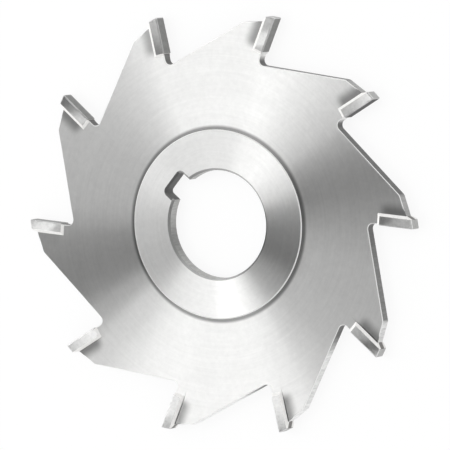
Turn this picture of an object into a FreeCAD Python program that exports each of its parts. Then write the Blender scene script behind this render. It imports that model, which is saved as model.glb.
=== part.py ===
import math
import os

import FreeCAD
import Part
import Sketcher

# Slitting saw: a ground steel disc with a raised hub, a keyed arbor bore and ten
# teeth, each tipped with a rectangular carbide blank held in its seat by silver
# brazing. The saw lies flat: the bore axis is Z and the lower hub face is at Z = 0.
# Angles are counted clockwise as seen from above, from the cutting edge of tip 01,
# which lies on +Y. All lengths are in millimetres and all angles in degrees.

# Driving dimensions: name, value, what it is
drivingValues = [
    ("outside_diameter", 101.6, "over the cutting edges"),
    ("cutting_width", 3.57, "width of the tips"),
    ("body_thickness", 2.8, "plate between hub and teeth"),
    ("bore_diameter", 25.4, "arbor bore"),
    ("bore_edge_break", 0.5, "chamfer round bore and keyway"),
    ("hub_diameter", 44.45, "raised hub"),
    ("hub_length", 3.75, "over both hub faces"),
    ("hub_edge_break", 0.22, "chamfer on the hub rim"),
    ("hub_root_radius", 2.0, "hollow between hub rim and plate"),
    ("keyway_width", 6.35, "arbor key slot"),
    ("keyway_floor", 15.35, "floor of the key slot from the axis"),
    ("keyway_corner_radius", 0.9, "floor corners of the key slot"),
    ("keyway_angle", 3.8, "middle of the key slot from tip 01"),
    ("tooth_count", 10, "teeth round the rim"),
    ("rake_angle", 5.0, "hook of the cutting face"),
    ("tip_length", 8.65, "along the cutting face"),
    ("tip_thickness", 2.15, "cutting face to back"),
    ("tip_relief_angle", 9.0, "fall of the outer end behind the edge"),
    ("braze_gap", 0.12, "braze layer between tip and seat"),
    ("braze_fillet_width", 0.68, "run of the braze fillet on the plate"),
    ("braze_fillet_rim", 0.08, "left of the fillet at its top"),
    ("braze_fillet_shortfall", 0.03, "fillet stops below the tip side"),
    ("braze_end_depth", 0.62, "fillet top below the cutting edge"),
    ("wall_setback", 0.25, "steel wall behind the cutting face"),
    ("gullet_depth", 12.0, "along the wall from the cutting edge"),
    ("gullet_radius", 1.3, "corner at the gullet bottom"),
    ("land_drop", 1.8, "land start below the cutting edge"),
    ("land_angle", 18.9, "slope of the land"),
    ("land_length", 5.85, "land, tip back to corner"),
    ("land_corner_radius", 1.2, "rounding between land and tooth back"),
    ("outline_edge_break", 0.16, "chamfer along the plate outline"),
    ("hollow_depth", 0.25, "side hollow behind the tip, at its deepest"),
    ("hollow_width", 1.7, "side hollow across, from the braze fillet"),
    ("hollow_half_length", 7.4, "side hollow along the tip, from its middle"),
    ("hollow_middle", 3.4, "middle of the hollow from the cutting edge"),
    ("hollow_wheel_lift", 1.0, "wheel centre above the plate face"),
]

# Dimensions worked out from the driving ones: name, formula
derivedValues = [
    ("outer_radius", "outside_diameter / 2"),
    ("pitch_angle", "360 / tooth_count"),
    ("mid_height", "hub_length / 2"),
    ("half_plate", "body_thickness / 2"),
    ("blank_radius", "outer_radius - 0.75 * land_drop"),
    ("rake_sine", "sin(rake_angle)"),
    ("rake_cosine", "cos(rake_angle)"),
    ("seat_back", "tip_thickness + braze_gap"),
    ("seat_floor", "tip_length + braze_gap"),
    ("hub_root_drop", "hub_length / 2 - hub_edge_break - body_thickness / 2"),
    ("hub_root_run", "sqrt(hub_root_radius ^ 2 - (hub_root_radius - hub_root_drop) ^ 2)"),
    ("end_slope", "tan(tip_relief_angle + rake_angle)"),
    ("land_tilt", "tan(land_angle + rake_angle)"),
    ("fillet_height", "(cutting_width - body_thickness) / 2 - braze_fillet_shortfall"),
    ("keyway_inner", "bore_diameter / 2 - 2"),
    ("hollow_share", "sqrt(1 - (hollow_wheel_lift / (hollow_wheel_lift + hollow_depth)) ^ 2)"),
    ("wheel_height", "hollow_wheel_lift + hollow_depth"),
    ("wheel_width", "hollow_width / hollow_share"),
    ("wheel_length", "hollow_half_length / hollow_share"),
]

doc = FreeCAD.newDocument("SlittingSaw")
sheet = doc.addObject("Spreadsheet::Sheet", "Dims")


def fillSheet():
    row = 1
    for name, value, note in drivingValues:
        sheet.set(f"A{row}", name)
        sheet.set(f"B{row}", str(value))
        sheet.set(f"C{row}", note)
        sheet.setAlias(f"B{row}", name)
        row += 1
    for name, formula in derivedValues:
        sheet.set(f"A{row}", name)
        sheet.set(f"B{row}", "=" + formula)
        sheet.setAlias(f"B{row}", name)
        row += 1
    doc.recompute()


def val(name):
    value = sheet.get(name)
    return float(getattr(value, "Value", value))


# Points of a tooth are given as (back, down): back is the distance behind the
# cutting face, down the distance from the cutting edge along that face. Both
# are expressions, turned here into expressions for X and Y.
def toothPoint(back, down):
    x = f"-({back}) * Dims.rake_cosine - ({down}) * Dims.rake_sine"
    y = f"Dims.outer_radius + ({back}) * Dims.rake_sine - ({down}) * Dims.rake_cosine"
    return x, y


def turned(point, angle):
    x, y = point
    return (f"({x}) * cos({angle}) + ({y}) * sin({angle})",
            f"({y}) * cos({angle}) - ({x}) * sin({angle})")


def originPlane(body, role):
    for feature in body.Origin.OriginFeatures:
        if feature.Role == role:
            return feature
    raise ValueError(role)


def newBody(name):
    body = doc.addObject("PartDesign::Body", name)
    body.Label = name
    body.setExpression("Placement.Base.z", "Dims.mid_height")
    return body


def newSketch(body, name, role="XY_Plane"):
    sketch = body.newObject("Sketcher::SketchObject", name)
    sketch.AttachmentSupport = [(originPlane(body, role), "")]
    sketch.MapMode = "FlatFace"
    return sketch


def evaluate(expression):
    return float(getattr(sheet.evalExpression(expression.replace("Dims.", "")), "Value",
                         sheet.evalExpression(expression.replace("Dims.", ""))))


# A closed polygon whose corners are held by their X and Y expressions
def addPolygon(sketch, points):
    spots = [FreeCAD.Vector(evaluate(x), evaluate(y), 0) for x, y in points]
    count = len(spots)
    first = sketch.GeometryCount
    for i in range(count):
        sketch.addGeometry(Part.LineSegment(spots[i], spots[(i + 1) % count]), False)
    for i in range(count):
        sketch.addConstraint(Sketcher.Constraint("Coincident", first + i, 2,
                                                 first + (i + 1) % count, 1))
    for i, (x, y) in enumerate(points):
        dx = sketch.addConstraint(Sketcher.Constraint("DistanceX", -1, 1, first + i, 1, spots[i].x))
        sketch.setExpression(f"Constraints[{dx}]", x)
        dy = sketch.addConstraint(Sketcher.Constraint("DistanceY", -1, 1, first + i, 1, spots[i].y))
        sketch.setExpression(f"Constraints[{dy}]", y)


def pad(body, sketch, name, expression):
    feature = body.newObject("PartDesign::Pad", name)
    feature.Profile = sketch
    feature.setExpression("Length", expression)
    setBothSides(feature)
    sketch.Visibility = False
    return feature


def pocket(body, sketch, name, expression):
    feature = body.newObject("PartDesign::Pocket", name)
    feature.Profile = sketch
    feature.setExpression("Length", expression)
    setBothSides(feature)
    sketch.Visibility = False
    return feature


def setBothSides(feature):
    if "SideType" in feature.PropertiesList:
        feature.SideType = "Symmetric"
    else:
        feature.Midplane = True


def polar(body, originals, name):
    feature = body.newObject("PartDesign::PolarPattern", name)
    feature.Originals = originals
    feature.Axis = (originPlane(body, "Z_Axis"), [""])
    feature.Angle = 360
    feature.setExpression("Occurrences", "Dims.tooth_count")
    return feature


def edgeNames(feature, accept):
    return [f"Edge{i + 1}" for i, edge in enumerate(feature.Shape.Edges) if accept(edge)]


def isUpright(edge):
    top, bottom = edge.BoundBox.ZMax, edge.BoundBox.ZMin
    return edge.BoundBox.XLength < 1e-6 and edge.BoundBox.YLength < 1e-6 and top - bottom > 0.5


def edgeRadius(edge):
    middle = edge.valueAt((edge.FirstParameter + edge.LastParameter) / 2)
    return math.hypot(middle.x, middle.y)


# Turned blank: plate, raised hub on both sides and the through bore, as one
# half section swept round the axis. The hollow at the hub rim is an arc that
# runs out level with the plate.
def turnedBlank(body):
    sketch = newSketch(body, "blank_section", "XZ_Plane")
    corners = [
        ("Dims.bore_diameter / 2", "-Dims.hub_length / 2"),
        ("Dims.hub_diameter / 2 - Dims.hub_edge_break", "-Dims.hub_length / 2"),
        ("Dims.hub_diameter / 2", "-Dims.hub_length / 2 + Dims.hub_edge_break"),
        ("Dims.hub_diameter / 2 + Dims.hub_root_run", "-Dims.half_plate"),
        ("Dims.blank_radius", "-Dims.half_plate"),
        ("Dims.blank_radius", "Dims.half_plate"),
        ("Dims.hub_diameter / 2 + Dims.hub_root_run", "Dims.half_plate"),
        ("Dims.hub_diameter / 2", "Dims.hub_length / 2 - Dims.hub_edge_break"),
        ("Dims.hub_diameter / 2 - Dims.hub_edge_break", "Dims.hub_length / 2"),
        ("Dims.bore_diameter / 2", "Dims.hub_length / 2"),
    ]
    spots = [FreeCAD.Vector(evaluate(x), evaluate(y), 0) for x, y in corners]
    radius = val("hub_root_radius")
    reach = val("half_plate") + radius
    count = len(spots)
    for i in range(count):
        start, end = spots[i], spots[(i + 1) % count]
        if i in (2, 6):
            side = -1 if i == 2 else 1
            centre = FreeCAD.Vector(spots[3].x, side * reach, 0)
            a0 = math.atan2(start.y - centre.y, start.x - centre.x)
            a1 = math.atan2(end.y - centre.y, end.x - centre.x)
            circle = Part.Circle(centre, FreeCAD.Vector(0, 0, 1), radius)
            low, high = (a1, a0) if i == 2 else (a1, a0)
            sketch.addGeometry(Part.ArcOfCircle(circle, low, high), False)
        else:
            sketch.addGeometry(Part.LineSegment(start, end), False)
    # an arc runs counterclockwise, so its first end is the later corner
    def ends(i):
        return (2, 1) if i in (2, 6) else (1, 2)
    for i in range(count):
        after = (i + 1) % count
        sketch.addConstraint(Sketcher.Constraint("Coincident", i, ends(i)[1], after, ends(after)[0]))
    for i, (x, y) in enumerate(corners):
        dx = sketch.addConstraint(Sketcher.Constraint("DistanceX", -1, 1, i, ends(i)[0], spots[i].x))
        sketch.setExpression(f"Constraints[{dx}]", x)
        dy = sketch.addConstraint(Sketcher.Constraint("DistanceY", -1, 1, i, ends(i)[0], spots[i].y))
        sketch.setExpression(f"Constraints[{dy}]", y)
    for i in (2, 6):
        held = sketch.addConstraint(Sketcher.Constraint("Radius", i, radius))
        sketch.setExpression(f"Constraints[{held}]", "Dims.hub_root_radius")
    turned = body.newObject("PartDesign::Revolution", "blank")
    turned.Profile = sketch
    turned.ReferenceAxis = (sketch, ["V_Axis"])
    turned.Angle = 360
    sketch.Visibility = False
    return turned


# Everything cut away between two teeth: the tip seat and gullet of one tooth,
# the back and land of the next
def gulletOutline():
    landStart = toothPoint("Dims.tip_thickness", "Dims.land_drop")
    def alongLand(distance):
        return (f"{landStart[0]} - ({distance}) * cos(Dims.land_angle)",
                f"{landStart[1]} - ({distance}) * sin(Dims.land_angle)")
    return [
        toothPoint("Dims.seat_back", "-3 * Dims.land_drop"),
        toothPoint("Dims.seat_back", "Dims.seat_floor"),
        toothPoint("Dims.wall_setback", "Dims.seat_floor"),
        toothPoint("Dims.wall_setback", "Dims.gullet_depth"),
        turned(alongLand("Dims.land_length"), "Dims.pitch_angle"),
        turned(alongLand("-Dims.tip_thickness / 2"), "Dims.pitch_angle"),
        turned(toothPoint("0", "-3 * Dims.land_drop"), "Dims.pitch_angle"),
    ]


# Side hollow behind a tip: the plate face is ground away in a shallow dish
# that is deepest along the braze fillet and runs out to an arc behind it. The
# tool is half an ellipsoid, its flat side upright along the fillet.
def sideHollow(number, name, side):
    wheel = doc.addObject("Part::Ellipsoid", f"hollow_{name}_{number:02d}")
    turnAngle = f"{number - 1} * Dims.pitch_angle"
    wheel.setExpression("Radius1", "Dims.wheel_length")
    wheel.setExpression("Radius2", "Dims.wheel_height")
    wheel.setExpression("Radius3", "Dims.wheel_width")
    wheel.Angle3 = 180
    x, y = turned(toothPoint("Dims.tip_thickness + Dims.braze_fillet_width",
                             "Dims.hollow_middle"), turnAngle)
    wheel.setExpression("Placement.Base.x", x)
    wheel.setExpression("Placement.Base.y", y)
    wheel.setExpression("Placement.Base.z",
                        f"Dims.mid_height + {side} * (Dims.half_plate + Dims.hollow_wheel_lift)")
    # local Z runs out along the tip, local Y points away from it
    heading = math.radians(90 - val("rake_angle") - evaluate(turnAngle))
    along = FreeCAD.Vector(math.cos(heading), math.sin(heading), 0)
    away = FreeCAD.Vector(-math.sin(heading), math.cos(heading), 0)
    wheel.Placement.Rotation = FreeCAD.Rotation(away.cross(along), away, along, "ZYX")
    wheel.Visibility = False
    return wheel


def sawBody():
    body = newBody("toothed_plate")
    turnedBlank(body)
    doc.recompute()

    sketch = newSketch(body, "gullet_outline")
    addPolygon(sketch, gulletOutline())
    gullet = pocket(body, sketch, "gullet", "4 * Dims.hub_length")
    doc.recompute()
    teeth = polar(body, [gullet], "teeth")
    body.Tip = teeth
    doc.recompute()

    # round the gullet bottoms, then the corners between land and tooth back
    depth = [evaluate(e) for e in toothPoint("Dims.wall_setback", "Dims.gullet_depth")]
    gulletRadius = math.hypot(*depth)
    bottoms = body.newObject("PartDesign::Fillet", "gullet_bottoms")
    bottoms.Base = (teeth, edgeNames(teeth, lambda e: isUpright(e)
                                     and abs(edgeRadius(e) - gulletRadius) < 0.01))
    bottoms.setExpression("Radius", "Dims.gullet_radius")
    body.Tip = bottoms
    doc.recompute()
    corner = [evaluate(e) for e in gulletOutline()[4]]
    cornerRadius = math.hypot(*corner)
    corners = body.newObject("PartDesign::Fillet", "land_corners")
    corners.Base = (bottoms, edgeNames(bottoms, lambda e: isUpright(e)
                                       and abs(edgeRadius(e) - cornerRadius) < 0.01))
    corners.setExpression("Radius", "Dims.land_corner_radius")
    body.Tip = corners
    doc.recompute()

    # key slot through the hub
    sketch = newSketch(body, "keyway_outline")
    half = "Dims.keyway_width / 2"
    addPolygon(sketch, [turned(point, "Dims.keyway_angle") for point in (
        (f"-{half}", "Dims.keyway_inner"), (half, "Dims.keyway_inner"),
        (half, "Dims.keyway_floor"), (f"-{half}", "Dims.keyway_floor"))])
    keyway = pocket(body, sketch, "keyway", "4 * Dims.hub_length")
    body.Tip = keyway
    doc.recompute()
    floorRadius = math.hypot(val("keyway_width") / 2, val("keyway_floor"))
    slotCorners = body.newObject("PartDesign::Fillet", "keyway_corners")
    slotCorners.Base = (keyway, edgeNames(keyway, lambda e: isUpright(e)
                                          and abs(edgeRadius(e) - floorRadius) < 0.01))
    slotCorners.setExpression("Radius", "Dims.keyway_corner_radius")
    body.Tip = slotCorners
    doc.recompute()

    # broken edges: round bore and key slot on both hub faces
    hubFace = val("hub_length") / 2
    innerReach = val("keyway_floor") + val("keyway_width") / 2
    boreEdges = body.newObject("PartDesign::Chamfer", "bore_edges")
    boreEdges.Base = (slotCorners, edgeNames(slotCorners, lambda e: e.BoundBox.ZLength < 1e-6
                      and abs(abs(e.BoundBox.ZMax) - hubFace) < 1e-6
                      and edgeRadius(e) < innerReach))
    boreEdges.setExpression("Size", "Dims.bore_edge_break")
    body.Tip = boreEdges
    doc.recompute()

    # broken edges: along gullets, tooth backs and lands on both plate faces
    plateFace = val("half_plate")
    hubReach = val("hub_diameter") / 2 + val("hub_root_run") + 1
    seatReach = val("outer_radius") - val("land_drop")

    def onOutline(edge):
        if edge.BoundBox.ZLength > 1e-6 or abs(abs(edge.BoundBox.ZMax) - plateFace) > 1e-6:
            return False
        if edgeRadius(edge) < hubReach:
            return False
        return not isSeatEdge(edge)

    outline = body.newObject("PartDesign::Chamfer", "outline_edges")
    outline.Base = (boreEdges, edgeNames(boreEdges, onOutline))
    outline.setExpression("Size", "Dims.outline_edge_break")
    body.Tip = outline
    doc.recompute()

    hollows = doc.addObject("Part::Compound", "side_hollows")
    hollows.Links = [sideHollow(number, name, side)
                     for number in range(1, int(val("tooth_count")) + 1)
                     for name, side in (("upper", 1), ("lower", -1))]
    ground = doc.addObject("Part::Cut", "saw_body")
    ground.Label = "saw_body"
    ground.Base = body
    ground.Tool = hollows
    doc.recompute()
    return ground


# Edges of a tip seat keep their sharp corner, because tip and braze fill them
def isSeatEdge(edge):
    middle = edge.valueAt((edge.FirstParameter + edge.LastParameter) / 2)
    pitch = math.radians(val("pitch_angle"))
    angle = math.atan2(middle.x, middle.y)
    local = angle - round(angle / pitch) * pitch
    radius = math.hypot(middle.x, middle.y)
    x, y = radius * math.sin(local), radius * math.cos(local)
    rake = math.radians(val("rake_angle"))
    dx, dy = x, y - val("outer_radius")
    back = -dx * math.cos(rake) + dy * math.sin(rake)
    down = -dx * math.sin(rake) - dy * math.cos(rake)
    onBack = abs(back - val("seat_back")) < 0.02 and down < val("seat_floor")
    onFloor = abs(down - val("seat_floor")) < 0.02 and back < val("seat_back") + 0.02
    return onBack or onFloor


# Carbide tip: a rectangular blank, ground with relief on its outer end
def carbideTip(number):
    body = newBody(f"carbide_tip_{number:02d}")
    turnBody(body, number)
    sketch = newSketch(body, f"tip_outline_{number:02d}")
    addPolygon(sketch, [
        toothPoint("0", "0"),
        toothPoint("0", "Dims.tip_length"),
        toothPoint("Dims.tip_thickness", "Dims.tip_length"),
        toothPoint("Dims.tip_thickness", "Dims.tip_thickness * Dims.end_slope"),
    ])
    body.Tip = pad(body, sketch, f"tip_{number:02d}", "Dims.cutting_width")
    return body


# Braze: the thin layer under back and foot of the tip with the fillets that
# run out onto the land and onto both plate faces
def brazeJoint(number):
    body = newBody(f"braze_joint_{number:02d}")
    turnBody(body, number)
    thick, length = "Dims.tip_thickness", "Dims.tip_length"

    def onLand(back):
        return toothPoint(back, f"Dims.land_drop + ({back} - Dims.tip_thickness) * Dims.land_tilt")

    sketch = newSketch(body, f"layer_outline_{number:02d}")
    addPolygon(sketch, [
        toothPoint(thick, "Dims.braze_end_depth"),
        toothPoint(thick, length),
        toothPoint("Dims.wall_setback", length),
        toothPoint("Dims.wall_setback", "Dims.seat_floor"),
        toothPoint("Dims.seat_back", "Dims.seat_floor"),
        onLand("Dims.seat_back"),
        onLand("(Dims.tip_thickness + Dims.braze_fillet_width)"),
    ])
    body.Tip = pad(body, sketch, f"layer_{number:02d}", "Dims.body_thickness")
    doc.recompute()
    for name, side in (("upper", 1), ("lower", -1)):
        sections = []
        for level, width in (("foot", "Dims.braze_fillet_width"), ("top", "Dims.braze_fillet_rim")):
            section = newSketch(body, f"fillet_{name}_{level}_{number:02d}")
            height = "Dims.half_plate" if level == "foot" else "(Dims.half_plate + Dims.fillet_height)"
            section.setExpression("AttachmentOffset.Base.z", f"{side} * {height}")
            share = f"({width} / Dims.braze_fillet_width)"
            endDown = (f"Dims.braze_end_depth + {share} * (Dims.land_drop"
                       " + Dims.braze_fillet_width * Dims.land_tilt - Dims.braze_end_depth)")
            addPolygon(section, [
                toothPoint(thick, "Dims.braze_end_depth"),
                toothPoint(thick, length),
                toothPoint("Dims.wall_setback", length),
                toothPoint("Dims.wall_setback", f"{length} + {width}"),
                toothPoint(f"{thick} + {width}", f"{length} + {width}"),
                toothPoint(f"{thick} + {width}", endDown),
            ])
            sections.append(section)
        loft = body.newObject("PartDesign::AdditiveLoft", f"fillet_{name}_{number:02d}")
        loft.Profile = sections[0]
        loft.Sections = [sections[1]]
        loft.Ruled = True
        for section in sections:
            section.Visibility = False
        body.Tip = loft
        doc.recompute()
    return body


def turnBody(body, number):
    body.setExpression("Placement.Rotation.Angle", f"-{number - 1} * Dims.pitch_angle")
    body.Placement.Rotation.Axis = FreeCAD.Vector(0, 0, 1)


def writeParts(bodies):
    os.makedirs("parts", exist_ok=True)
    doc.recompute()
    for obj in doc.Objects:
        if "Invalid" in obj.State or "Error" in obj.State:
            raise RuntimeError(f"{obj.Name} failed: {obj.State}")
    for body in bodies:
        if body.Shape.isNull() or not body.Shape.isValid() or len(body.Shape.Solids) != 1:
            raise RuntimeError(f"{body.Label} is not one sound solid")
    for body in bodies:
        body.Shape.exportStep(os.path.join("parts", body.Label + ".step"))
        print(body.Label, round(body.Shape.Volume, 2))


fillSheet()
made = [sawBody()]
for toothNumber in range(1, int(val("tooth_count")) + 1):
    made.append(carbideTip(toothNumber))
    made.append(brazeJoint(toothNumber))
writeParts(made)
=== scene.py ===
import math

import bmesh
import bpy
from mathutils import Matrix, Vector


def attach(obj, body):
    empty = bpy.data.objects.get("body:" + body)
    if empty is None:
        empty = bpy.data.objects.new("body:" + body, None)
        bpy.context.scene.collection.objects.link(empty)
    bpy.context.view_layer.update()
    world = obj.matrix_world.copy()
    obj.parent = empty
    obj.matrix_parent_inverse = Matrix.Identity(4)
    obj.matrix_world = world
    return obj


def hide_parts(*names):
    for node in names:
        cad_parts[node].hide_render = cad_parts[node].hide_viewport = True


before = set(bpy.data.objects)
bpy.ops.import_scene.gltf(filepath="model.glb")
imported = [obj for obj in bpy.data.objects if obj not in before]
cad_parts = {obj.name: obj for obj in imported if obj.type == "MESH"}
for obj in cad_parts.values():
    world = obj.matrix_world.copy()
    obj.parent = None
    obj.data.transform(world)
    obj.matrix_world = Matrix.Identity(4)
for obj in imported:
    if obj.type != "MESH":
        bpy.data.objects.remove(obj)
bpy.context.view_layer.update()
scene = bpy.context.scene
print("saw loaded:", len(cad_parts), "pieces")


def hexToLinear(code):
    values = [int(code[i:i + 2], 16) / 255 for i in (1, 3, 5)]
    linear = [v / 12.92 if v <= 0.04045 else ((v + 0.055) / 1.055) ** 2.4 for v in values]
    return (*linear, 1.0)


# adds one node: settings are its properties, inputs its values or links
def addNode(tree, kind, inputs=None, **settings):
    node = tree.nodes.new(kind)
    for name, value in settings.items():
        setattr(node, name, value)
    for socket, value in (inputs or {}).items():
        if isinstance(value, tuple) and len(value) == 2 and hasattr(value[0], "outputs"):
            tree.links.new(value[0].outputs[value[1]], node.inputs[socket])
        else:
            node.inputs[socket].default_value = value
    return node


def startMaterial(name):
    material = bpy.data.materials.new(name)
    material.use_nodes = True
    material.node_tree.nodes.clear()
    return material, material.node_tree


# where the surface is, as it comes and in mm
def addPlace(tree):
    place = addNode(tree, "ShaderNodeTexCoord")
    inMm = addNode(tree, "ShaderNodeVectorMath", {0: (place, "Object"), "Scale": 1000.0},
                   operation="SCALE")
    return place, inMm


# 1 where the camera or a mirror sees the surface, 0 for light that scatters off it
def addSeenShare(tree):
    path = addNode(tree, "ShaderNodeLightPath")
    seen = addNode(tree, "ShaderNodeMath", {0: (path, "Is Camera Ray"), 1: (path, "Is Glossy Ray")},
                   operation="MAXIMUM")
    return addNode(tree, "ShaderNodeMath", {0: (seen, 0), 1: (path, "Is Transmission Ray")},
                   operation="MAXIMUM")


# the noise textures seldom leave this span
noiseLow, noiseHigh = 0.3, 0.7


# shapes that the finishes follow, in mm from the bore axis
sawShape = {
    "teeth": 10,
    "outerRadius": 50.8,
    "boreWall": 12.76,          # the round bore, with a hair to spare
    "boreChamfer": 13.32,       # outside of its chamfer
    "keywayReach": 17.0,
    "hubRadius": 22.22,
    "rootDark": 22.65,          # the rim's root: painted shade, dark up to here, then fading out
    "rootEnd": 23.5,
    "rootLevel": (23.35, 23.75),
    "middle": 1.875,            # height of the middle of the plate
    "landStart": (47.7, 48.1),
    "gulletEnd": (39.6, 41.2),  # where the gullet's own shade leaves the tooth back
    "rake": math.radians(5),
    "tipLength": 8.65,
    "tipThickness": 2.15,
    "seamEnd": 2.83,            # from the rake face to the back of the braze
    "pitchAhead": math.radians(8),      # each tooth's share of the disc starts this far ahead
    "wallUpright": (0.3, 0.4),  # height of the normal between walls and broken edges
    "faceUpright": (0.8, 0.9),  # and between broken edges and faces
}


# turn of this tip, and its ways back from the rake face and down from the cutting edge
def tipWays(number):
    rake = sawShape["rake"]
    turn = Matrix.Rotation(-2 * math.pi / sawShape["teeth"] * (number - 1), 3, "Z")
    return (turn, turn @ Vector((-math.cos(rake), math.sin(rake), 0.0)),
            turn @ Vector((-math.sin(rake), -math.cos(rake), 0.0)))


# Ground tool steel: the faces were ground on a rotary table, which leaves fine
# rings round the bore. The eye gets bright and dark fans that meet at the bore,
# and on the hub, which was ground with a cup wheel, the fans stand turned.
sawSteel = {
    "face": "#DBDBDA",
    # painted highlight: broken edges near white
    "edge": "#FAFAF9",
    "bore": "#D8D8D6",
    # painted shade: keyway and gullet walls dark, the lands lighter
    "keyway": "#5E5E5D",
    "gullet": "#6E6E6D",
    "land": "#B0B0AF",
    "litBack": "#F4F4F3",       # tooth backs that face the bright side of the room
    "brightSide": (-0.907, -0.421, 0.0),
    "litTurn": (-0.55, 0.4),    # share of the way towards it
    "faceRoughness": 0.28,
    "wallRoughness": 0.4,
    "edgeRoughness": 0.5,
    "edgeMetal": 0.15,          # broken edges scatter the light; their near-white colour is a painted highlight
    "ringSpread": 1.0,
    "ringsPerMm": 1.6,          # real grit lines are finer, drawn coarse enough to show
    "grainPerMm": 0.8,          # real grain is finer too
    "hubTurn": 22.9,            # degrees that the cup wheel's arcs cross the rings
    "hubDish": 0.087,           # tilt of the arcs' flanks, outwards
    "plateDish": -0.013,
    "streakTurn": 2.0,          # degrees that single arcs stray by
    "streaksPerRadius": 7.0,
    "streakSpan": (0.25, 0.75),
    "fineTones": (0.97, 1.03),
    "ringDrift": 1.8,           # how soon one ring gives way to another round the bore
    "hollowPaintedShade": 0.3,         # painted shade in the hollows behind the tips
    "hollowBack": (0.5, 3.4),   # fading from the back of the braze
    "hollowDown": (-1.6, 0.9),  # and from the foot of the tip
    "levelBack": (2.0, 2.3),    # up to here a hollow reflects nearly as the plate does
    "levelDown": (2.4, 2.7),
    "levelShare": 0.97,
    "paintedHollowDepths": (0.7, 0.92),    # how fully the painted shade darkens, least and most
    "lastHollowFaintShade": 0.22,        # the painted shade is faint in the last tooth's hollow
    "sectorTones": (0.94, 1.06),
    "sectorsPerRadius": 1.6,
    # painted shade at the root of the hub's rim
    "paintedRootDarkness": 0.36,
    "boreEdge": 0.5,            # painted shade on the bore's chamfer, as a share of the face's brightness
    # painted shade on the keyway's chamfer, darker still
    "keywayEdge": 0.22,
    "farSideLean": -0.3,        # the keyway's far side leans further back than this
    "chamferLift": 0.3,
    "marksPerMm": (2.0, 2.0, 0.25),
    "markTones": (0.8, 1.15),
    "boreShadeClock": -55.0,         # degrees clockwise from tip 01, where a painted shade darkens the bore wall
    "boreShadeReach": 30.0,
    "boreShadeTone": 0.4,
    "boreTone": 0.68,
}


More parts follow.
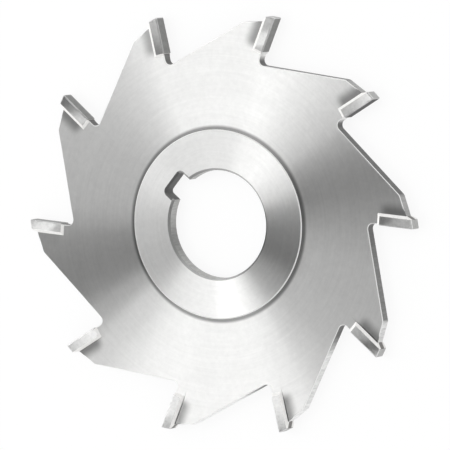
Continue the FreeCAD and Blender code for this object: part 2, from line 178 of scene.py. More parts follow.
def makeSawSteel():
    material, tree = startMaterial("rotary ground tool steel")
    place, inMm = addPlace(tree)
    axes = addNode(tree, "ShaderNodeSeparateXYZ", {0: (inMm, 0)})
    flat = addNode(tree, "ShaderNodeCombineXYZ", {0: (axes, 0), 1: (axes, 1)})
    outward = addNode(tree, "ShaderNodeVectorMath", {0: (flat, 0)}, operation="NORMALIZE")
    radius = addNode(tree, "ShaderNodeVectorMath", {0: (flat, 0)}, operation="LENGTH")
    clock = addNode(tree, "ShaderNodeMath", {0: (axes, 0), 1: (axes, 1)}, operation="ARCTAN2")

    # face, broken edge or wall, from how far the surface tips away from the bore axis
    lean = addNode(tree, "ShaderNodeSeparateXYZ", {0: (place, "Normal")})
    upright = addNode(tree, "ShaderNodeMath", {0: (lean, 2)}, operation="ABSOLUTE")
    inMiddle = addNode(tree, "ShaderNodeMath", {0: (radius, "Value"), 1: sawShape["keywayReach"]},
                       operation="LESS_THAN")
    # the bore's chamfer was turned with the faces and counts as one
    lifted = addNode(tree, "ShaderNodeMath",
                     {0: (inMiddle, 0), 1: sawSteel["chamferLift"], 2: (upright, 0)},
                     operation="MULTIPLY_ADD")
    faceFrom, faceTo = sawShape["faceUpright"]
    isFace = addNode(tree, "ShaderNodeMapRange",
                     {"Value": (lifted, 0), "From Min": faceFrom, "From Max": faceTo})
    isFlat = addNode(tree, "ShaderNodeMapRange",
                     {"Value": (upright, 0), "From Min": faceFrom, "From Max": faceTo})
    isChamfer = addNode(tree, "ShaderNodeMath",
                        {0: (isFace, 0), 1: (isFlat, 0)}, operation="SUBTRACT")
    wallFrom, wallTo = sawShape["wallUpright"]
    notWall = addNode(tree, "ShaderNodeMapRange",
                      {"Value": (upright, 0), "From Min": wallFrom, "From Max": wallTo})
    isHub = addNode(tree, "ShaderNodeMath", {0: (radius, "Value"), 1: sawShape["hubRadius"]},
                    operation="LESS_THAN")

    # place behind each tip: how far back from the braze and how far down from the edge
    pitch = 2 * math.pi / sawShape["teeth"]
    pitchAhead = sawShape["pitchAhead"]
    inPitch = addNode(tree, "ShaderNodeMath", {0: (clock, 0), 1: pitchAhead, 2: pitchAhead - pitch},
                      operation="WRAP")
    sine = addNode(tree, "ShaderNodeMath", {0: (inPitch, 0)}, operation="SINE")
    cosine = addNode(tree, "ShaderNodeMath", {0: (inPitch, 0)}, operation="COSINE")
    unfolded = addNode(tree, "ShaderNodeCombineXYZ", {0: (sine, 0), 1: (cosine, 0)})
    folded = addNode(tree, "ShaderNodeVectorMath", {0: (unfolded, 0), "Scale": (radius, "Value")},
                     operation="SCALE")
    fromEdge = addNode(tree, "ShaderNodeVectorMath",
                       {0: (folded, 0), 1: (0.0, sawShape["outerRadius"], 0.0)},
                       operation="SUBTRACT")
    _, backWay, downWay = tipWays(1)
    back = addNode(tree, "ShaderNodeVectorMath", {0: (fromEdge, 0), 1: tuple(backWay)},
                   operation="DOT_PRODUCT")
    down = addNode(tree, "ShaderNodeVectorMath", {0: (fromEdge, 0), 1: tuple(downWay)},
                   operation="DOT_PRODUCT")
    backFrom, backTo = sawSteel["hollowBack"]
    fadeBack = addNode(tree, "ShaderNodeMapRange",
                       {"Value": (back, "Value"), "From Min": sawShape["seamEnd"] + backFrom,
                        "From Max": sawShape["seamEnd"] + backTo, "To Min": 1.0, "To Max": 0.0},
                       interpolation_type="SMOOTHSTEP")
    downFrom, downTo = sawSteel["hollowDown"]
    fadeDown = addNode(tree, "ShaderNodeMapRange",
                       {"Value": (down, "Value"), "From Min": sawShape["tipLength"] + downFrom,
                        "From Max": sawShape["tipLength"] + downTo, "To Min": 1.0, "To Max": 0.0},
                       interpolation_type="SMOOTHSTEP")
    # count of the tooth from 0, and its own draw
    ahead = addNode(tree, "ShaderNodeMath", {0: (clock, 0), 1: pitch - pitchAhead}, operation="ADD")
    turnShare = addNode(tree, "ShaderNodeMath", {0: (ahead, 0), 1: 2 * math.pi}, operation="DIVIDE")
    inTurn = addNode(tree, "ShaderNodeMath", {0: (turnShare, 0)}, operation="FRACT")
    teethOn = addNode(tree, "ShaderNodeMath",
                      {0: (inTurn, 0), 1: sawShape["teeth"]}, operation="MULTIPLY")
    tooth = addNode(tree, "ShaderNodeMath", {0: (teethOn, 0)}, operation="FLOOR")
    draw = addNode(tree, "ShaderNodeTexWhiteNoise", {"W": (tooth, 0)}, noise_dimensions="1D")
    least, most = sawSteel["paintedHollowDepths"]
    drawn = addNode(tree, "ShaderNodeMapRange",
                    {"Value": (draw, 0), "To Min": least, "To Max": most})
    isLast = addNode(tree, "ShaderNodeMath", {0: (tooth, 0), 1: sawShape["teeth"] - 1.5},
                     operation="GREATER_THAN")
    shades = addNode(tree, "ShaderNodeMix",
                     {0: (isLast, 0), 2: (drawn, 0), 3: sawSteel["lastHollowFaintShade"]},
                     data_type="FLOAT")
    # painted shade behind each tip, fading away from the braze and past the foot
    behindTip = addNode(tree, "ShaderNodeMath",
                        {0: (fadeBack, 0), 1: (fadeDown, 0)}, operation="MULTIPLY")
    shadeInHollow = addNode(tree, "ShaderNodeMath",
                       {0: (behindTip, 0), 1: (shades, 0)}, operation="MULTIPLY")
    hollowPaintedShadeTone = addNode(tree, "ShaderNodeMapRange",
                         {"Value": (shadeInHollow, 0), "To Min": 1.0, "To Max": sawSteel["hollowPaintedShade"]})

    # painted shade in the hollow round the hub's rim
    inRoot = addNode(tree, "ShaderNodeMapRange",
                     {"Value": (radius, "Value"), "From Min": sawShape["rootDark"],
                      "From Max": sawShape["rootEnd"], "To Min": 1.0, "To Max": 0.0},
                     interpolation_type="SMOOTHSTEP")
    notHub = addNode(tree, "ShaderNodeMath", {0: 1.0, 1: (isHub, 0)}, operation="SUBTRACT")
    rootOnly = addNode(tree, "ShaderNodeMath",
                       {0: (inRoot, 0), 1: (notHub, 0)}, operation="MULTIPLY")
    paintedRimRootShade = addNode(tree, "ShaderNodeMapRange",
                       {"Value": (rootOnly, 0), "To Min": 1.0, "To Max": sawSteel["paintedRootDarkness"]})
    levelFrom, levelTo = sawShape["rootLevel"]
    nearRoot = addNode(tree, "ShaderNodeMapRange",
                       {"Value": (radius, "Value"), "From Min": levelFrom, "From Max": levelTo,
                        "To Min": 1.0, "To Max": 0.0},
                       interpolation_type="SMOOTHSTEP")
    besideHub = addNode(tree, "ShaderNodeMath",
                        {0: (nearRoot, 0), 1: (notHub, 0)}, operation="MULTIPLY")

    # the wheels left some sectors a little lighter, others darker
    sectorPlace = addNode(tree, "ShaderNodeVectorMath",
                          {0: (outward, 0), "Scale": sawSteel["sectorsPerRadius"]},
                          operation="SCALE")
    sectors = addNode(tree, "ShaderNodeTexNoise",
                      {"Vector": (sectorPlace, 0), "Scale": 1.0, "Detail": 1.0})
    lowTone, highTone = sawSteel["sectorTones"]
    sectorTone = addNode(tree, "ShaderNodeMapRange",
                         {"Value": (sectors, 0), "From Min": noiseLow, "From Max": noiseHigh,
                          "To Min": lowTone, "To Max": highTone})

    # painted shade: chamfers of bore and keyway are darker than the face, but for the keyway's far
    # side
    inKeyway = addNode(tree, "ShaderNodeMath", {0: (radius, "Value"), 1: sawShape["boreChamfer"]},
                       operation="GREATER_THAN")
    nearSide = addNode(tree, "ShaderNodeMath", {0: (lean, 0), 1: sawSteel["farSideLean"]},
                       operation="GREATER_THAN")
    keywaySide = addNode(tree, "ShaderNodeMath",
                         {0: (inKeyway, 0), 1: (nearSide, 0)}, operation="MULTIPLY")
    chamferShadeShare = addNode(tree, "ShaderNodeMapRange",
                        {"Value": (keywaySide, 0), "To Min": sawSteel["boreEdge"],
                         "To Max": sawSteel["keywayEdge"]})
    chamferPaintedShade = addNode(tree, "ShaderNodeMix", {0: (isChamfer, 0), 2: 1.0, 3: (chamferShadeShare, 0)},
                          data_type="FLOAT")

    # satin grain, and rings that run fast with radius and slowly round the bore
    grain = addNode(tree, "ShaderNodeTexNoise",
                    {"Vector": (inMm, 0), "Scale": sawSteel["grainPerMm"], "Detail": 2.0,
                     "Roughness": 0.6})
    rings = addNode(tree, "ShaderNodeMath", {0: (radius, "Value"), 1: sawSteel["ringsPerMm"]},
                    operation="MULTIPLY")
    drift = addNode(tree, "ShaderNodeVectorMath", {0: (outward, 0), "Scale": sawSteel["ringDrift"]},
                    operation="SCALE")
    driftAxes = addNode(tree, "ShaderNodeSeparateXYZ", {0: (drift, 0)})
    ringPlace = addNode(tree, "ShaderNodeCombineXYZ",
                        {0: (rings, 0), 1: (driftAxes, 0), 2: (driftAxes, 1)})
    ringNoise = addNode(tree, "ShaderNodeTexNoise",
                        {"Vector": (ringPlace, 0), "Scale": 1.0, "Detail": 3.0, "Roughness": 0.6})
    fineLow, fineHigh = sawSteel["fineTones"]
    grainTone = addNode(tree, "ShaderNodeMapRange",
                        {"Value": (grain, 0), "From Min": noiseLow, "From Max": noiseHigh,
                         "To Min": fineLow, "To Max": fineHigh})
    ringTone = addNode(tree, "ShaderNodeMapRange",
                       {"Value": (ringNoise, 0), "From Min": noiseLow, "From Max": noiseHigh,
                        "To Min": fineLow, "To Max": fineHigh})
    finish = addNode(tree, "ShaderNodeMath",
                     {0: (grainTone, 0), 1: (ringTone, 0)}, operation="MULTIPLY")
    shaded = addNode(tree, "ShaderNodeMath",
                     {0: (finish, 0), 1: (hollowPaintedShadeTone, 0)}, operation="MULTIPLY")
    rooted = addNode(tree, "ShaderNodeMath",
                     {0: (shaded, 0), 1: (paintedRimRootShade, 0)}, operation="MULTIPLY")
    varied = addNode(tree, "ShaderNodeMath",
                     {0: (rooted, 0), 1: (sectorTone, 0)}, operation="MULTIPLY")
    faceTone = addNode(tree, "ShaderNodeMath",
                       {0: (varied, 0), 1: (chamferPaintedShade, 0)}, operation="MULTIPLY")

    # walls: bright in the bore; painted shade darkens keyway and gullets, less so on the lands;
    # painted light on tooth backs that face the bright side of the room
    landFrom, landTo = sawShape["landStart"]
    landShare = addNode(tree, "ShaderNodeMapRange",
                        {"Value": (radius, "Value"), "From Min": landFrom, "From Max": landTo})
    inBore = addNode(tree, "ShaderNodeMath", {0: (radius, "Value"), 1: sawShape["boreWall"]},
                     operation="LESS_THAN")
    shadedRimWall = addNode(tree, "ShaderNodeMix",
                      {0: (landShare, 0), 6: hexToLinear(sawSteel["gullet"]),
                       7: hexToLinear(sawSteel["land"])}, data_type="RGBA")
    toBright = addNode(tree, "ShaderNodeVectorMath",
                       {0: (place, "Normal"), 1: sawSteel["brightSide"]},
                       operation="DOT_PRODUCT")
    litFrom, litTo = sawSteel["litTurn"]
    litSide = addNode(tree, "ShaderNodeMapRange",
                      {"Value": (toBright, "Value"), "From Min": litFrom, "From Max": litTo},
                      interpolation_type="SMOOTHSTEP")
    shadeFrom, shadeTo = sawShape["gulletEnd"]
    pastGullet = addNode(tree, "ShaderNodeMapRange",
                         {"Value": (radius, "Value"), "From Min": shadeFrom, "From Max": shadeTo})
    lit = addNode(tree, "ShaderNodeMath",
                  {0: (litSide, 0), 1: (pastGullet, 0)}, operation="MULTIPLY")
    litOrShadedWall = addNode(tree, "ShaderNodeMix",
                        {0: (lit, 0), 6: (shadedRimWall, 2), 7: hexToLinear(sawSteel["litBack"])},
                        data_type="RGBA")
    # painted shade on the bore wall beside the keyway
    fromBoreShade = addNode(tree, "ShaderNodeMath",
                        {0: (clock, 0), 1: math.radians(sawSteel["boreShadeClock"])},
                        operation="SUBTRACT")
    boreShadeWay = addNode(tree, "ShaderNodeMath", {0: (fromBoreShade, 0)}, operation="ABSOLUTE")
    boreTone = addNode(tree, "ShaderNodeMapRange",
                       {"Value": (boreShadeWay, 0),
                        "From Max": math.radians(sawSteel["boreShadeReach"]),
                        "To Min": sawSteel["boreShadeTone"], "To Max": sawSteel["boreTone"]},
                       interpolation_type="SMOOTHSTEP")
    boreWall = addNode(tree, "ShaderNodeVectorMath",
                       {0: hexToLinear(sawSteel["bore"])[:3], "Scale": (boreTone, 0)},
                       operation="SCALE")
    middleWall = addNode(tree, "ShaderNodeMix",
                         {0: (inBore, 0), 6: hexToLinear(sawSteel["keyway"]), 7: (boreWall, 0)},
                         data_type="RGBA")
    wall = addNode(tree, "ShaderNodeMix", {0: (inMiddle, 0), 6: (litOrShadedWall, 2), 7: (middleWall, 2)},
                   data_type="RGBA")
    # broaching and milling marks stand upright on the walls
    markPlace = addNode(tree, "ShaderNodeVectorMath", {0: (inMm, 0), 1: sawSteel["marksPerMm"]},
                        operation="MULTIPLY")
    marks = addNode(tree, "ShaderNodeTexNoise",
                    {"Vector": (markPlace, 0), "Scale": 1.0, "Detail": 3.0, "Roughness": 0.6})
    markLow, markHigh = sawSteel["markTones"]
    markTone = addNode(tree, "ShaderNodeMapRange",
                       {"Value": (marks, 0), "From Min": noiseLow, "From Max": noiseHigh,
                        "To Min": markLow, "To Max": markHigh})
    wallToned = addNode(tree, "ShaderNodeVectorMath", {0: (wall, 2), "Scale": (markTone, 0)},
                        operation="SCALE")
    faceToned = addNode(tree, "ShaderNodeVectorMath",
                        {0: hexToLinear(sawSteel["face"])[:3], "Scale": (faceTone, 0)},
                        operation="SCALE")
    # near-white broken edges: a painted highlight, darkened by the painted shade at the hub's rim
    # root
    paintedEdgeHighlight = addNode(tree, "ShaderNodeVectorMath",
                        {0: hexToLinear(sawSteel["edge"])[:3], "Scale": (paintedRimRootShade, 0)},
                        operation="SCALE")
    edgeOrFace = addNode(tree, "ShaderNodeMix",
                         {0: (isFace, 0), 4: (paintedEdgeHighlight, 0), 5: (faceToned, 0)},
                         data_type="VECTOR")
    colour = addNode(tree, "ShaderNodeMix",
                     {0: (notWall, 0), 4: (wallToned, 0), 5: (edgeOrFace, 1)},
                     data_type="VECTOR")

    # grinding runs across this direction: outwards on a face, level on a wall
    streakPlace = addNode(tree, "ShaderNodeVectorMath",
                          {0: (outward, 0), "Scale": sawSteel["streaksPerRadius"]},
                          operation="SCALE")
    streaks = addNode(tree, "ShaderNodeTexNoise",
                      {"Vector": (streakPlace, 0), "Scale": 1.0, "Detail": 1.0, "Roughness": 0.5})
    streakFrom, streakTo = sawSteel["streakSpan"]
    streakTurn = math.radians(sawSteel["streakTurn"])
    stray = addNode(tree, "ShaderNodeMapRange",
                    {"Value": (streaks, 0), "From Min": streakFrom, "From Max": streakTo,
                     "To Min": -streakTurn, "To Max": streakTurn})
    hubTurn = addNode(tree, "ShaderNodeMath",
                      {0: (isHub, 0), 1: math.radians(sawSteel["hubTurn"]), 2: (stray, 0)},
                      operation="MULTIPLY_ADD")
    turned = addNode(tree, "ShaderNodeVectorRotate",
                     {"Vector": (outward, 0), "Angle": (hubTurn, 0)},
                     rotation_type="Z_AXIS")
    wallAcross = addNode(tree, "ShaderNodeVectorMath", {0: (place, "Normal"), 1: (0.0, 0.0, 1.0)},
                         operation="CROSS_PRODUCT")
    across = addNode(tree, "ShaderNodeMix", {0: (isFace, 0), 4: (wallAcross, 0), 5: (turned, 0)},
                     data_type="VECTOR")
    acrossWorld = addNode(tree, "ShaderNodeVectorTransform", {0: (across, 1)},
                          vector_type="VECTOR", convert_from="OBJECT", convert_to="WORLD")

    # the wheels' dish on the hub, and a soft run of the hollows into the plate
    hubFace = addNode(tree, "ShaderNodeMath", {0: (isHub, 0), 1: (isFace, 0)}, operation="MULTIPLY")
    dishes = addNode(tree, "ShaderNodeMapRange",
                     {"Value": (hubFace, 0), "To Min": sawSteel["plateDish"],
                      "To Max": sawSteel["hubDish"]})
    dish = addNode(tree, "ShaderNodeMath", {0: (dishes, 0), 1: (isFace, 0)}, operation="MULTIPLY")
    tilt = addNode(tree, "ShaderNodeVectorMath",
                   {0: (outward, 0), "Scale": (dish, 0)}, operation="SCALE")
    dished = addNode(tree, "ShaderNodeVectorMath",
                     {0: (place, "Normal"), 1: (tilt, 0)}, operation="ADD")
    side = addNode(tree, "ShaderNodeMath", {0: (lean, 2)}, operation="SIGN")
    upward = addNode(tree, "ShaderNodeCombineXYZ", {2: (side, 0)})
    level = addNode(tree, "ShaderNodeVectorMath", {0: (upward, 0), 1: (tilt, 0)}, operation="ADD")
    backFrom, backTo = sawSteel["levelBack"]
    nearBack = addNode(tree, "ShaderNodeMapRange",
                       {"Value": (back, "Value"), "From Min": sawShape["seamEnd"] + backFrom,
                        "From Max": sawShape["seamEnd"] + backTo, "To Min": 1.0, "To Max": 0.0})
    downFrom, downTo = sawSteel["levelDown"]
    nearDown = addNode(tree, "ShaderNodeMapRange",
                       {"Value": (down, "Value"), "From Min": sawShape["tipLength"] + downFrom,
                        "From Max": sawShape["tipLength"] + downTo, "To Min": 1.0, "To Max": 0.0})
    pastHollow = addNode(tree, "ShaderNodeMath",
                         {0: (nearBack, 0), 1: (nearDown, 0)}, operation="MULTIPLY")
    worn = addNode(tree, "ShaderNodeMath",
                   {0: (pastHollow, 0), 1: (besideHub, 0)}, operation="MAXIMUM")
    evenToo = addNode(tree, "ShaderNodeMath",
                      {0: (worn, 0), 1: (isChamfer, 0)}, operation="MAXIMUM")
    wornFace = addNode(tree, "ShaderNodeMath",
                       {0: (evenToo, 0), 1: (notWall, 0)}, operation="MULTIPLY")
    soften = addNode(tree, "ShaderNodeMath", {0: (wornFace, 0), 1: sawSteel["levelShare"]},
                     operation="MULTIPLY")
    evened = addNode(tree, "ShaderNodeMix", {0: (soften, 0), 4: (dished, 0), 5: (level, 0)},
                     data_type="VECTOR")
    facing = addNode(tree, "ShaderNodeVectorTransform", {0: (evened, 1)},
                     vector_type="NORMAL", convert_from="OBJECT", convert_to="WORLD")

    roughUp = addNode(tree, "ShaderNodeMix",
                      {0: (isFace, 0), 2: sawSteel["edgeRoughness"], 3: sawSteel["faceRoughness"]},
                      data_type="FLOAT")
    rough = addNode(tree, "ShaderNodeMix",
                    {0: (notWall, 0), 2: sawSteel["wallRoughness"], 3: (roughUp, 0)},
                    data_type="FLOAT")
    notFace = addNode(tree, "ShaderNodeMath", {0: 1.0, 1: (isFace, 0)}, operation="SUBTRACT")
    isEdge = addNode(tree, "ShaderNodeMath",
                     {0: (notFace, 0), 1: (notWall, 0)}, operation="MULTIPLY")
    metal = addNode(tree, "ShaderNodeMapRange",
                    {"Value": (isEdge, 0), "To Min": 1.0, "To Max": sawSteel["edgeMetal"]})
    surface = addNode(tree, "ShaderNodeBsdfPrincipled",
                      {"Base Color": (colour, 1), "Metallic": (metal, 0), "Roughness": (rough, 0),
                       "Anisotropic": sawSteel["ringSpread"], "Tangent": (acrossWorld, 0),
                       "Normal": (facing, 0)})
    addNode(tree, "ShaderNodeOutputMaterial", {0: (surface, 0)})
    return material


# Cemented carbide: each tip was diamond ground by itself, in arcs that turn
# along the tip. The eye gets a satin grey side with a flash where the arcs
# face the light, a darker rake face and bright broken edges.
tipCarbide = {
    "side": "#D9D9D8",
    "rake": "#ACACAB",
    "end": "#AFAFAE",
    # painted highlight: broken edges near white
    "edge": "#FAFAFA",
    "roughness": (0.28, 0.32),
    "arcSpread": 1.0,
    "edgeMetal": 0.15,          # broken edges scatter the light; their near-white colour is a painted highlight
    "grainPerMm": 1.2,          # carbide grain is far finer
    "grainTones": (0.9, 1.09),
    "flatSpan": (0.88, 0.96),   # how squarely a normal stands on a flat, from edge break to flat
    "edgeBreak": 0.00028,
    "sameCorner": 0.000001,     # corners of the solid nearer than this are one
    "sameFlat": 1.0,            # and so are faces that turn by less than this in degrees
    "brazeSide": 0.9,           # how squarely a face stands towards the braze, at least
    "rakeRoughness": 0.6,
    "clockTop": (0.907, 0.421, 0.0),    # the way across the arcs for a turn of 0
    # turn of the arcs at the outer end and at the foot in degrees, slant of the flash
    "grinds": [(-80, -230, 0.6), (-20, 30, 0.9), (70, 220, -0.4), (-20, -70, 0.0),
               (-60, -120, 0.8), (40, 120, 0.9), (-70, -10, 0.5), (-80, -20, -0.5),
               (-70, -40, 0.3), (30, -80, 0.9)],
    "sideTone": 0.95,
    # painted shade on the sides of some tips: tone at the outer end and at the foot
    "shadedTipEnds": {1: (0.3, 0.8), 2: (0.6, 0.4)},
    "rakeTone": 0.95,
    # painted shade on the rake faces of tips 4 and 5
    "shadedRakes": {4: 0.3, 5: 0.3},
}


def makeTipCarbide(number):
    material, tree = startMaterial(f"diamond ground carbide {number:02d}")
    place, inMm = addPlace(tree)
    outerTurn, footTurn, slant = tipCarbide["grinds"][number - 1]
    toothTurn, backWay, downWay = tipWays(number)
    cuttingEdge = toothTurn @ Vector((0.0, sawShape["outerRadius"], 0.0))
    fromEdge = addNode(tree, "ShaderNodeVectorMath", {0: (inMm, 0), 1: tuple(cuttingEdge)},
                       operation="SUBTRACT")
    along = addNode(tree, "ShaderNodeVectorMath",
                    {0: (fromEdge, 0), 1: tuple(downWay + slant * backWay)},
                    operation="DOT_PRODUCT")
    outerEnd = slant * sawShape["tipThickness"] / 2
    foot = sawShape["tipLength"] + outerEnd
    turn = addNode(tree, "ShaderNodeMapRange",
                   {"Value": (along, "Value"), "From Min": outerEnd, "From Max": foot,
                    "To Min": -math.radians(outerTurn), "To Max": -math.radians(footTurn)},
                   clamp=False)
    # painted shade along the sides of tips 1 and 2, even tone on the rest
    evenTone = (tipCarbide["sideTone"], tipCarbide["sideTone"])
    outerTone, footTone = tipCarbide["shadedTipEnds"].get(number, evenTone)
    tone = addNode(tree, "ShaderNodeMapRange",
                   {"Value": (along, "Value"), "From Min": outerEnd, "From Max": foot,
                    "To Min": outerTone, "To Max": footTone})
    turned = addNode(tree, "ShaderNodeVectorRotate",
                     {"Vector": tipCarbide["clockTop"], "Angle": (turn, 0)}, rotation_type="Z_AXIS")
    # side, rake face, outer end or broken edge
    lean = addNode(tree, "ShaderNodeSeparateXYZ", {0: (place, "Normal")})
    upright = addNode(tree, "ShaderNodeMath", {0: (lean, 2)}, operation="ABSOLUTE")
    alongBack = addNode(tree, "ShaderNodeVectorMath", {0: (place, "Normal"), 1: tuple(backWay)},
                        operation="DOT_PRODUCT")
    toRake = addNode(tree, "ShaderNodeMath", {0: (alongBack, "Value")}, operation="ABSOLUTE")
    alongDown = addNode(tree, "ShaderNodeVectorMath", {0: (place, "Normal"), 1: tuple(downWay)},
                        operation="DOT_PRODUCT")
    toEnd = addNode(tree, "ShaderNodeMath", {0: (alongDown, "Value")}, operation="ABSOLUTE")
    flatFrom, flatTo = tipCarbide["flatSpan"]
    isSide, isRake, isEnd = [
        addNode(tree, "ShaderNodeMapRange",
                {"Value": (facing, 0), "From Min": flatFrom, "From Max": flatTo})
        for facing in (upright, toRake, toEnd)]
    grain = addNode(tree, "ShaderNodeTexNoise",
                    {"Vector": (inMm, 0), "Scale": tipCarbide["grainPerMm"], "Detail": 3.0})
    grainLow, grainHigh = tipCarbide["grainTones"]
    grainTone = addNode(tree, "ShaderNodeMapRange",
                        {"Value": (grain, 0), "From Min": noiseLow, "From Max": noiseHigh,
                         "To Min": grainLow, "To Max": grainHigh})
    ground = addNode(tree, "ShaderNodeMath",
                     {0: (grainTone, 0), 1: (tone, 0)}, operation="MULTIPLY")
    # painted shade darkens the rakes of tips 4 and 5
    rakeTone = tipCarbide["shadedRakes"].get(number, tipCarbide["rakeTone"])
    # broken edges take the painted highlight, the outer end its own grey
    endColour = addNode(tree, "ShaderNodeMix",
                        {0: (isEnd, 0), 4: hexToLinear(tipCarbide["edge"])[:3],
                         5: hexToLinear(tipCarbide["end"])[:3]},
                        data_type="VECTOR")
    rakeColour = addNode(tree, "ShaderNodeMix",
                         {0: (isRake, 0), 4: (endColour, 1),
                          5: [rakeTone * value for value in hexToLinear(tipCarbide["rake"])[:3]]},
                         data_type="VECTOR")
    sideToned = addNode(tree, "ShaderNodeVectorMath",
                        {0: hexToLinear(tipCarbide["side"])[:3], "Scale": (ground, 0)},
                        operation="SCALE")
    restToned = addNode(tree, "ShaderNodeVectorMath", {0: (rakeColour, 1), "Scale": (grainTone, 0)},
                        operation="SCALE")
    toned = addNode(tree, "ShaderNodeMix", {0: (isSide, 0), 4: (restToned, 0), 5: (sideToned, 0)},
                    data_type="VECTOR")
    wallAcross = addNode(tree, "ShaderNodeVectorMath", {0: (place, "Normal"), 1: (0.0, 0.0, 1.0)},
                         operation="CROSS_PRODUCT")
    across = addNode(tree, "ShaderNodeMix", {0: (isSide, 0), 4: (wallAcross, 0), 5: (turned, 0)},
                     data_type="VECTOR")
    acrossWorld = addNode(tree, "ShaderNodeVectorTransform", {0: (across, 1)},
                          vector_type="VECTOR", convert_from="OBJECT", convert_to="WORLD")
    roughFrom, roughTo = tipCarbide["roughness"]
    flatRough = addNode(tree, "ShaderNodeMapRange",
                        {"Value": (grain, 0), "From Min": noiseLow, "From Max": noiseHigh,
                         "To Min": roughFrom, "To Max": roughTo})
    rough = addNode(tree, "ShaderNodeMix",
                    {0: (isRake, 0), 2: (flatRough, 0), 3: tipCarbide["rakeRoughness"]},
                    data_type="FLOAT")
    flatShare = addNode(tree, "ShaderNodeMath",
                        {0: (isSide, 0), 1: (isRake, 0)}, operation="MAXIMUM")
    flatAll = addNode(tree, "ShaderNodeMath",
                      {0: (flatShare, 0), 1: (isEnd, 0)}, operation="MAXIMUM")
    metal = addNode(tree, "ShaderNodeMapRange",
                    {"Value": (flatAll, 0), "To Min": tipCarbide["edgeMetal"], "To Max": 1.0})
    surface = addNode(tree, "ShaderNodeBsdfPrincipled",
                      {"Base Color": (toned, 1), "Metallic": (metal, 0), "Roughness": (rough, 0),
                       "Anisotropic": tipCarbide["arcSpread"], "Tangent": (acrossWorld, 0)})
    addNode(tree, "ShaderNodeOutputMaterial", {0: (surface, 0)})
    return material


# Silver brazing alloy: flowed into the joint and dressed with the sides. The
# eye gets a bright, slightly uneven seam round back and foot of the tip.
brazeAlloy = {
    "colour": "#F7F6F4",
    "roughness": (0.44, 0.56),
    "metal": 0.15,              # the flux left its skin dull
    "end": "#7A7876",           # darker where the seam's end faces outwards, near the middle of the plate
    "endLean": (0.3, 0.45),     # how far outwards a normal points where the end begins
    "endReach": (0.7, 1.0),     # mm from the middle of the plate
    "puddlesPerMm": 1.6,
    "puddleTones": (0.95, 1.05),
    "puddleDepth": 0.00003,
    "puddleStrength": 0.3,
}


def makeBrazeAlloy():
    material, tree = startMaterial("dressed silver brazing alloy")
    place, inMm = addPlace(tree)
    puddle = addNode(tree, "ShaderNodeTexNoise",
                     {"Vector": (inMm, 0), "Scale": brazeAlloy["puddlesPerMm"], "Detail": 3.0})
    toneLow, toneHigh = brazeAlloy["puddleTones"]
    tone = addNode(tree, "ShaderNodeMapRange",
                   {"Value": (puddle, 0), "From Min": noiseLow, "From Max": noiseHigh,
                    "To Min": toneLow, "To Max": toneHigh})
    flat = addNode(tree, "ShaderNodeVectorMath",
                   {0: (inMm, 0), 1: (1.0, 1.0, 0.0)}, operation="MULTIPLY")
    outward = addNode(tree, "ShaderNodeVectorMath", {0: (flat, 0)}, operation="NORMALIZE")
    facesOut = addNode(tree, "ShaderNodeVectorMath", {0: (place, "Normal"), 1: (outward, 0)},
                       operation="DOT_PRODUCT")
    leanFrom, leanTo = brazeAlloy["endLean"]
    isEnd = addNode(tree, "ShaderNodeMapRange",
                    {"Value": (facesOut, "Value"), "From Min": leanFrom, "From Max": leanTo})
    axes = addNode(tree, "ShaderNodeSeparateXYZ", {0: (inMm, 0)})
    offMiddle = addNode(tree, "ShaderNodeMath",
                        {0: (axes, 2), 1: sawShape["middle"]}, operation="SUBTRACT")
    reach = addNode(tree, "ShaderNodeMath", {0: (offMiddle, 0)}, operation="ABSOLUTE")
    reachFrom, reachTo = brazeAlloy["endReach"]
    nearMiddle = addNode(tree, "ShaderNodeMapRange",
                   {"Value": (reach, 0), "From Min": reachFrom, "From Max": reachTo,
                    "To Min": 1.0, "To Max": 0.0})
    darkerEnd = addNode(tree, "ShaderNodeMath", {0: (isEnd, 0), 1: (nearMiddle, 0)}, operation="MULTIPLY")
    colour = addNode(tree, "ShaderNodeMix",
                     {0: (darkerEnd, 0), 6: hexToLinear(brazeAlloy["colour"]),
                      7: hexToLinear(brazeAlloy["end"])}, data_type="RGBA")
    toned = addNode(tree, "ShaderNodeVectorMath",
                    {0: (colour, 2), "Scale": (tone, 0)}, operation="SCALE")
    roughFrom, roughTo = brazeAlloy["roughness"]
    rough = addNode(tree, "ShaderNodeMapRange",
                    {"Value": (puddle, 0), "From Min": noiseLow, "From Max": noiseHigh,
                     "To Min": roughFrom, "To Max": roughTo})
    bump = addNode(tree, "ShaderNodeBump",
                   {"Strength": brazeAlloy["puddleStrength"], "Distance": brazeAlloy["puddleDepth"],
                    "Height": (puddle, 0)})
    surface = addNode(tree, "ShaderNodeBsdfPrincipled",
                      {"Base Color": (toned, 0), "Metallic": brazeAlloy["metal"],
                       "Roughness": (rough, 0), "Normal": (bump, 0)})
    addNode(tree, "ShaderNodeOutputMaterial", {0: (surface, 0)})
    return material


def dress(piece, material):
    piece.data.materials.clear()
    piece.data.materials.append(material)


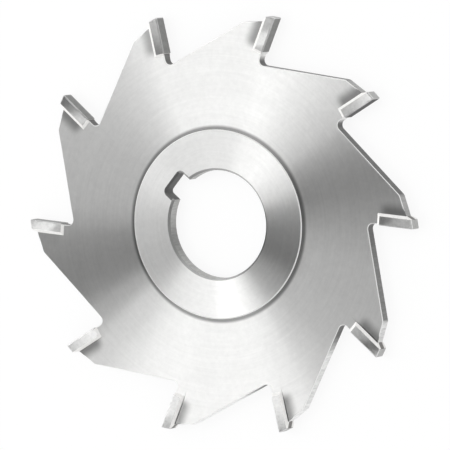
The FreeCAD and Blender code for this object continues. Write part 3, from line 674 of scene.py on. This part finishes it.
# the tip as it comes off the grinder, with its free edges broken
def makeTip(number):
    name = f"carbide_tip_{number:02d}"
    _, backWay, downWay = tipWays(number)
    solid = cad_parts[name].data
    shape = bmesh.new()
    corners = [shape.verts.new(corner.co) for corner in solid.vertices]
    for face in solid.polygons:
        shape.faces.new([corners[index] for index in face.vertices])
    bmesh.ops.remove_doubles(shape, verts=shape.verts, dist=tipCarbide["sameCorner"])
    bmesh.ops.dissolve_limit(shape, angle_limit=math.radians(tipCarbide["sameFlat"]),
                             verts=shape.verts, edges=shape.edges)
    bmesh.ops.recalc_face_normals(shape, faces=shape.faces)
    # edges against the braze stay sharp
    squarely = tipCarbide["brazeSide"]
    brazed = {edge for face in shape.faces for edge in face.edges
              if face.normal.dot(backWay) > squarely or face.normal.dot(downWay) > squarely}
    free = [edge for edge in shape.edges if edge not in brazed]
    bmesh.ops.bevel(shape, geom=free, offset=tipCarbide["edgeBreak"], segments=2,
                    affect="EDGES", profile=0.5, material=-1)
    mesh = bpy.data.meshes.new(f"groundTip_{number:02d}")
    shape.to_mesh(mesh)
    shape.free()
    tip = bpy.data.objects.new(f"groundTip_{number:02d}", mesh)
    scene.collection.objects.link(tip)
    dress(tip, makeTipCarbide(number))
    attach(tip, "root")
    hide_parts(name)


dress(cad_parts["saw_body"], makeSawSteel())
braze = makeBrazeAlloy()
for number in range(1, sawShape["teeth"] + 1):
    makeTip(number)
    dress(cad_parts[f"braze_joint_{number:02d}"], braze)
print("materials set")


# Pale floor under the saw, with its shadow
floorLook = {
    "size": 6.0,
    "gap": 0.00005,             # so that saw and floor don't share a plane
    "colour": "#F7F7F7",
    "ownLight": 0.88,           # share of plain white the camera sees in it
}


def makeFloor():
    bpy.ops.mesh.primitive_plane_add(size=floorLook["size"], location=(0, 0, -floorLook["gap"]))
    floor = bpy.context.object
    floor.name = "floor"
    material, tree = startMaterial("white card")
    share = addNode(tree, "ShaderNodeMath", {0: (addSeenShare(tree), 0), 1: floorLook["ownLight"]},
                    operation="MULTIPLY")
    card = addNode(tree, "ShaderNodeBsdfDiffuse", {"Color": hexToLinear(floorLook["colour"])})
    glow = addNode(tree, "ShaderNodeEmission", {"Color": (1.0, 1.0, 1.0, 1.0), "Strength": 1.0})
    mixed = addNode(tree, "ShaderNodeMixShader", {0: (share, 0), 1: (card, 0), 2: (glow, 0)})
    addNode(tree, "ShaderNodeOutputMaterial", {0: (mixed, 0)})
    floor.data.materials.append(material)


makeFloor()

# Studio: a white horizon with a darker ceiling, and soft boxes over the saw
studio = {
    "ambient": 0.82,
    "horizon": 1.0,
    "ceiling": 0.08,
    "fadeFrom": 0.12,           # sine of the height where the white starts to fade
    "fadeTo": 0.44,
}


def makeWorld():
    world = bpy.data.worlds.new("studio")
    world.use_nodes = True
    tree = world.node_tree
    tree.nodes.clear()
    place = addNode(tree, "ShaderNodeTexCoord")
    axes = addNode(tree, "ShaderNodeSeparateXYZ", {0: (place, "Generated")})
    height = addNode(tree, "ShaderNodeMapRange",
                     {"Value": (axes, 2), "From Min": studio["fadeFrom"],
                      "From Max": studio["fadeTo"], "To Min": studio["horizon"],
                      "To Max": studio["ceiling"]},
                     interpolation_type="SMOOTHSTEP")
    strength = addNode(tree, "ShaderNodeMix",
                       {0: (addSeenShare(tree), 0), 2: studio["ambient"], 3: (height, 0)},
                       data_type="FLOAT")
    light = addNode(tree, "ShaderNodeBackground",
                    {"Color": (1.0, 1.0, 1.0, 1.0), "Strength": (strength, 0)})
    addNode(tree, "ShaderNodeOutputWorld", {0: (light, 0)})
    scene.world = world


makeWorld()

# each soft box: where it stands seen from the bore, its turn, its sides and
# how bright its cloth is
boxDistance = 2.0
softBoxes = {
    "broad box": {"azimuth": 90.7, "elevation": 64.2, "turn": -23.2,
                  "wide": 1.03, "high": 0.9, "glow": 1.74},
    "strip box": {"azimuth": 157.6, "elevation": 57.8, "turn": 43.6,
                  "wide": 0.66, "high": 0.33, "glow": 4.65},
    "low box": {"azimuth": 114.8, "elevation": 30.9, "turn": -6.2,
                "wide": 0.92, "high": 1.75, "glow": 1.84},
}


def addSoftBox(name, box):
    azimuth, elevation = math.radians(box["azimuth"]), math.radians(box["elevation"])
    towards = Vector((math.cos(azimuth) * math.cos(elevation),
                      math.sin(azimuth) * math.cos(elevation), math.sin(elevation)))
    across = Vector((-math.sin(azimuth), math.cos(azimuth), 0.0))
    across.rotate(Matrix.Rotation(math.radians(box["turn"]), 3, towards))
    lamp = bpy.data.lights.new(name, "AREA")
    lamp.shape = "RECTANGLE"
    lamp.size, lamp.size_y = box["wide"], box["high"]
    lamp.energy = math.pi * box["wide"] * box["high"] * box["glow"]
    holder = bpy.data.objects.new(name, lamp)
    turn = Matrix((across, towards.cross(across), towards)).transposed().to_4x4()
    holder.matrix_world = Matrix.Translation(towards * boxDistance) @ turn
    scene.collection.objects.link(holder)


for boxName, box in softBoxes.items():
    addSoftBox(boxName, box)
print("studio set")

# Long lens, 28 degrees off the bore axis. The saw lies flat, so the camera
# stands over it, turned.
lookFrom = {
    "aim": (0.000461, -0.001022, 0.001875),
    "back": (0.334123, -0.340998, 0.878682),
    "up": (0.792918, 0.605693, -0.066454),
    "distance": 1.2,
    "lens": 410.5,              # mm, as is the film's width
    "filmWidth": 36.0,
    "drawnSpan": (0.01, 20.0),  # metres before the lens, nothing outside is drawn
}


def addCamera():
    lens = bpy.data.cameras.new("camera")
    lens.lens = lookFrom["lens"]
    lens.sensor_width = lookFrom["filmWidth"]
    lens.clip_start, lens.clip_end = lookFrom["drawnSpan"]
    holder = bpy.data.objects.new("camera", lens)
    back = Vector(lookFrom["back"]).normalized()
    right = Vector(lookFrom["up"]).cross(back).normalized()
    up = back.cross(right)
    turn = Matrix((right, up, back)).transposed().to_4x4()
    standing = Vector(lookFrom["aim"]) + back * lookFrom["distance"]
    holder.matrix_world = Matrix.Translation(standing) @ turn
    scene.collection.objects.link(holder)
    scene.camera = holder


addCamera()
scene.view_settings.view_transform = "Standard"
print("camera set")
